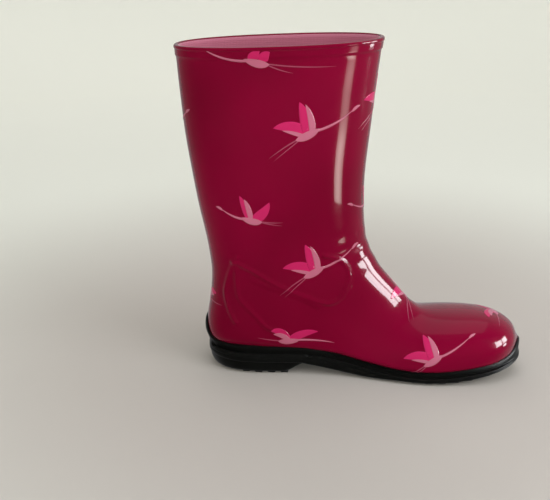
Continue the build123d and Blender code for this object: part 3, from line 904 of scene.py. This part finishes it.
def make_rand():
    """Black strip over the joint of upper and sole, found by looking in at the plain outer face."""
    count = 400
    theta = angles_round(count, 1e-3)
    rings = [base_point(np.full(count, u), theta) for u in even_rows(8, LAST, 240)]
    nose, apex = nose_rings(*rings[-2:])
    corners, faces = capped_rings(rings + nose, apex)
    tree = BVHTree.FromPolygons(corners.tolist(), faces)
    line = smooth_line(SOLE_OUTLINE, 640, closed=True)
    inward = inward_of(line)
    levels = [0.0, 0.2, 0.4, 0.6, 0.75, 0.87, 0.95, 1.0]
    hits = np.zeros((len(levels), len(line), 3))
    normals = np.zeros_like(hits)

    def look_in(spot, way, z):
        """The face's point and normal met on the way in from outside, or else the nearest."""
        outside, reach = 20, 34
        hit = tree.ray_cast(Vector((*(spot - way * outside), z)), Vector((*way, 0)), reach)
        return hit if hit[0] else tree.find_nearest(Vector((*spot, z)))

    for column, (spot, way) in enumerate(zip(line, inward)):
        # The strip's top edge follows the x that it has on the upper, found in a few rounds.
        x_top = spot[0]
        for _ in range(3):
            x_top = look_in(spot, way, float(rand_top(x_top)))[0][0]
        low_z, top_z = float(outsole_top(spot[0])) - 0.6, float(rand_top(x_top))
        for row, share in enumerate(levels):
            z = low_z * (1 - share) + top_z * share
            place, normals[row, column] = look_in(spot, way, z)[:2]
            hits[row, column] = place.x, place.y, z
    hits, normals = averaged(hits), averaged(normals)
    normals = unit(normals * np.sign((normals[..., :2] * -inward[None]).sum(-1, keepdims=True)))
    sideways = np.column_stack([-inward, np.zeros(len(line))])
    thickness = [1.0, 1.0, 1.0, 1.0, 0.96, 0.82, 0.6, 0.26]
    # Low down the strip reaches out to the sole's edge, however far in the upper is.
    reach = ((drawn_in(line, 0.25)[None] - hits[..., :2]) * -inward[None]).sum(-1)
    rings = []
    for row, share in enumerate(levels):
        out = RAND * 0.92 * thickness[row]
        spread = out + np.clip(reach[row] - out, 0, 8) * (1 - share ** 2.2)
        mixed = unit(normals[row] * share + sideways * (1 - share))
        rings.append(hits[row] + spread[:, None] * mixed)
    rings.append(hits[-1] + np.array([0, 0, 0.25]) - 0.2 * normals[-1])
    rings += list((hits - 0.25 * normals)[-2::-1])
    faces = ring_faces(len(rings), len(line), closed=True)
    piece = new_object("rand_strip", np.vstack(rings), faces, black_rubber)
    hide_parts("rand")


make_outsole()
make_heel()
make_rand()


# ---------------- lining
def make_lining():
    """Knitted lining from under the bead down to the toe, slightly loose on the wall."""
    count = 240
    theta = angles_round(count)

    def face(depth, loose):
        rings = []
        for u in even_rows(0.07, LAST - 0.8, 170):
            full = np.full(count, u)
            point = base_point(full, theta)
            x, y, z = point.T
            slack = loose * (np.sin(z / 9 + 2 * np.sin(x / 21)) * np.sin(x / 13 + y / 7) * 0.5 + 0.5)
            rings.append(point - (depth + slack)[:, None] * base_normal(full, theta))
        return rings, rings[-1].mean(0)

    points, faces = wall_between(*face(SHELL + 0.05, 0.0), *face(SHELL + LINING - 0.35, 0.35))
    piece = new_object("knit_lining", points, faces, lining_knit)
    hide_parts("leg_lining", "foot_lining")


def make_back_seam():
    """Overlocked seam down the centre back: a zigzag thread between two straight ones."""
    parts = Parts()
    depth = SHELL + LINING + 0.25
    start, end = 0.26, 15.0

    def at(share, offset):
        """Point on the lining this share of the way down, offset sideways from its middle."""
        u = np.array([start + (end - start) * share])
        theta = np.array([math.copysign(math.pi - 1e-3 - abs(offset) / 32.0, offset)])
        return (base_point(u, theta) - depth * base_normal(u, theta))[0]

    stitches = 184
    thread(parts, [at(k / stitches, 2.1 if k % 2 else -2.1) for k in range(stitches + 1)], 0.42)
    for offset in (-2.3, 2.3):
        thread(parts, [at(k / 160, offset) for k in range(161)], 0.38)
    piece = parts.make("overlock_seam", seam_thread)
    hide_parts("lining_back_seam")


make_lining()
make_back_seam()


# ---------------- footbed
def make_footbed():
    """Loose insole: foam with a rolled edge under a knitted cover, both following the foot's floor."""
    line = drawn_in(outline, FOOTBED_INSET)
    foam, cover = Parts(), Parts()
    # Each ring of the edge: how far in, and how high above the floor.
    foam_edge = [(1.4, 0.45), (0.5, 0.8), (0.15, 2.0), (0.3, 3.6), (1.0, 4.55)]
    cover_edge = [(0.9, 4.62), (0.35, 4.75), (0.3, 5.1), (0.9, 5.6), (2.2, 5.75)]
    for parts, edge in ((foam, foam_edge), (cover, cover_edge)):
        slab(parts, line, [(inset, shifted(floor_height, lift)) for inset, lift in edge])
    under = foam.make("insole_foam", footbed_foam, "footbed")
    top = cover.make("insole_cover", footbed_cloth, "footbed")
    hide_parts("footbed_foam")
    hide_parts("footbed_cover")


make_footbed()


# ---------------- stage, light and camera
def make_stage():
    """Pale round floor that curves up into a wall all round, with painted shade near the middle and painted
    light further out: its colour pales and its glow grows with distance.
    """
    floor_reach, corner, wall = 1.495, 0.8, 1.9
    profile = [(floor_reach * k / 12, 0.0) for k in range(1, 13)]
    profile += [(floor_reach + corner * math.sin(a), corner * (1 - math.cos(a)))
                for a in np.linspace(0.15, math.pi / 2, 12)]
    profile += [(floor_reach + corner, corner + wall * k / 4) for k in range(1, 5)]
    sides = 72
    angles = [2 * math.pi * k / sides for k in range(sides)]
    rings = [(reach * math.cos(a), reach * math.sin(a), height) for reach, height in profile for a in angles]
    # Wound to face up and in.
    faces = fan_faces(0, sides, len(rings)) + [face[::-1] for face in ring_faces(len(profile), sides)]
    mesh = bpy.data.meshes.new("stage")
    mesh.from_pydata(rings + [(0, 0, 0)], [], faces)
    mesh.polygons.foreach_set("use_smooth", [True] * len(mesh.polygons))
    n = Nodes("stage")
    away = n.add("ShaderNodeVectorMath", [(0, n.place)], operation="LENGTH").outputs["Value"]
    # Painted shade and light: the colour is darker near the middle, round the boot, and paler further out
    # and up the wall.
    painted_shade_and_light = n.ramp(n.window(away, 0.18, 0.62), (0.56, 0.515, 0.49), (0.86, 0.86, 0.81))
    # Painted light: floor and wall glow, more strongly further from the middle, though they are no lamp.
    glow = n.ramp(n.window(away, 0.3, 1.9), (0.12, 0.12, 0.11), (1.0, 1.0, 0.93))
    n.tree.links.new(glow, n.shader.inputs["Emission Color"])
    mesh.materials.append(n.finish(painted_shade_and_light, n.ramp(n.noise(40), 0.75, 0.9), n.bump(n.noise(300), 0.05, 0.001),
                                   Emission_Strength=0.21, Specular_IOR_Level=0.0))
    stage = bpy.data.objects.new("stage", mesh)
    stage.visible_glossy = False
    bpy.context.scene.collection.objects.link(stage)


def area_light(name, place, target, width, height, watts, colour):
    """Rectangular lamp that points at a target and isn't seen itself."""
    data = bpy.data.lights.new(name, "AREA")
    data.shape = "RECTANGLE"
    data.size, data.size_y = width, height
    data.energy = watts
    data.color = colour
    lamp = bpy.data.objects.new(name, data)
    lamp.location = place
    lamp.rotation_mode = "QUATERNION"
    lamp.rotation_quaternion = (Vector(target) - Vector(place)).to_track_quat("-Z", "Y")
    lamp.visible_camera = False
    bpy.context.scene.collection.objects.link(lamp)
    return lamp


def soft_light(name, place, size, watts, colour):
    """Broad light for the shading only, not mirrored in the rubber."""
    area_light(name, place, (0, 0, 0.1), size, size, watts, colour).visible_glossy = False


def mirrored_pane(name, azimuth, elevation, distance, width, height, glow, colour):
    """Bright pane seen only in reflections, by direction from the instep in degrees."""
    instep = Vector((0.02, -0.016, 0.085))
    turn, lift = math.radians(azimuth), math.radians(elevation)
    way = Vector((math.cos(lift) * math.cos(turn), math.cos(lift) * math.sin(turn), math.sin(lift)))
    lamp = area_light(name, instep + distance * way, instep, width, height,
                      glow * math.pi * width * height, colour)
    lamp.visible_diffuse = False


COOL, WARM, GOLD = (0.95, 0.98, 1.0), (1.0, 0.97, 0.93), (1.0, 0.89, 0.80)
make_stage()
soft_light("overhead", (0.15, -0.1, 1.55), 1.4, 9.2, COOL)
soft_light("daylight", (1.0, -0.55, 0.70), 0.8, 6.6, COOL)
soft_light("fill", (-0.9, -1.1, 0.9), 0.9, 1.0, WARM)
soft_light("back", (-0.3, 1.3, 1.2), 1.0, 3.0, WARM)
mirrored_pane("ceiling", 90, 78, 1.3, 1.3, 1.1, 0.22, COOL)
mirrored_pane("window_low", -9, -3, 1.15, 0.24, 0.12, 12, COOL)
mirrored_pane("window_high_left", -27, 14, 1.15, 0.34, 0.40, 12, COOL)
mirrored_pane("window_high_right", -6, 14, 1.15, 0.34, 0.40, 12, COOL)
doorway = area_light("doorway", (0.44, -0.47, 0.04), (0.0, -0.03, 0.27), 0.13, 0.22, 0.0065, GOLD)
doorway.data.spread = math.radians(19)
doorway.visible_diffuse = False


def make_world():
    """Dim surroundings, brightest low down on the outer side."""
    world = bpy.data.worlds.new("world")
    world.use_nodes = True
    tree = world.node_tree
    toward = tree.nodes.new("ShaderNodeVectorMath")
    toward.operation = "DOT_PRODUCT"
    toward.inputs[1].default_value = (0.10, 0.94, -0.30)
    tree.links.new(tree.nodes.new("ShaderNodeTexCoord").outputs["Generated"], toward.inputs[0])
    shade = tree.nodes.new("ShaderNodeMapRange")
    shade.interpolation_type = "SMOOTHSTEP"
    for socket, value in (("From Min", -0.5), ("From Max", 1.1), ("To Min", 0.004), ("To Max", 0.36)):
        shade.inputs[socket].default_value = value
    tree.links.new(toward.outputs["Value"], shade.inputs["Value"])
    tree.links.new(shade.outputs[0], tree.nodes["Background"].inputs["Color"])
    bpy.context.scene.world = world


def make_camera():
    """Camera beside the inner side, a little above it and looking down."""
    lens = bpy.data.cameras.new("camera")
    lens.lens = 63.2
    camera = bpy.data.objects.new("camera", lens)
    camera.location = (-0.0108, -0.7697, 0.3944)
    camera.rotation_euler = (math.radians(69.18), 0, math.radians(4.06))
    bpy.context.scene.collection.objects.link(camera)
    bpy.context.scene.camera = camera


make_world()
make_camera()
bpy.context.scene.view_settings.view_transform = "Standard"
